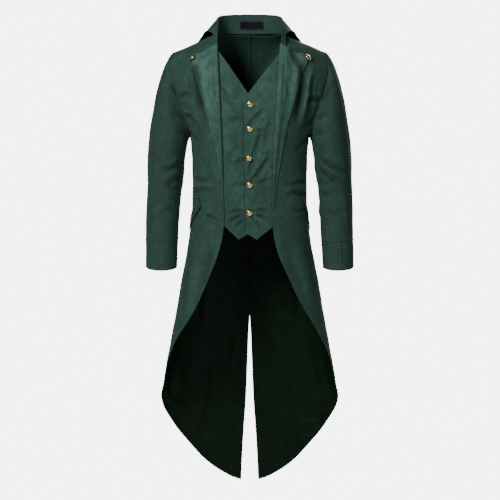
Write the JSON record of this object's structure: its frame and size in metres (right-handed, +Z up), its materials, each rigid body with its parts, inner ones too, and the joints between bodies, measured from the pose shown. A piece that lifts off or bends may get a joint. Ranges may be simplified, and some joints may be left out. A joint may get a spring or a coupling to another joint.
{
  "type": "tailcoat with attached waistcoat front",
  "caption": "Hollow worn tailcoat with long back tails, cutaway fronts, folded lapels, a standing turn-down collar and a buttoned waistcoat front sewn in.",
  "frame": {"origin": "centre of the neck base, level with the nape seam, where the wearer's neck and shoulders hold the coat up", "axes": "+Z up, -Y the way the wearer faces, +X the wearer's left"},
  "size_m": [0.5686, 0.2781, 1.2771],
  "materials": {
    "coat_cloth": "brushed dark green cloth with a short suede-like nap",
    "lining_satin": "very dark green smooth lining with a soft satin sheen",
    "label_cloth": "plain woven dark label, blank",
    "button_brass": "polished domed brass"
  },
  "bodies": {
    "root": {"coat_front_right": "coat_cloth", "coat_front_left": "coat_cloth", "coat_back_right": "coat_cloth", "coat_back_left": "coat_cloth", "lapel_right": "coat_cloth", "lapel_left": "coat_cloth", "collar": "coat_cloth", "pocket_flap_right": "coat_cloth", "pocket_flap_left": "coat_cloth", "sleeve_upper_right": "coat_cloth", "sleeve_upper_left": "coat_cloth", "sleeve_under_right": "coat_cloth", "sleeve_under_left": "coat_cloth", "waistcoat_right": "coat_cloth", "waistcoat_left": "coat_cloth", "lining_right": "lining_satin", "lining_left": "lining_satin", "neck_label": "label_cloth", "lapel_button_right": "button_brass", "lapel_button_left": "button_brass", "waistcoat_button_1": "button_brass", "waistcoat_button_2": "button_brass", "waistcoat_button_3": "button_brass", "waistcoat_button_4": "button_brass", "waistcoat_button_5": "button_brass"}
  },
  "joints": []
}
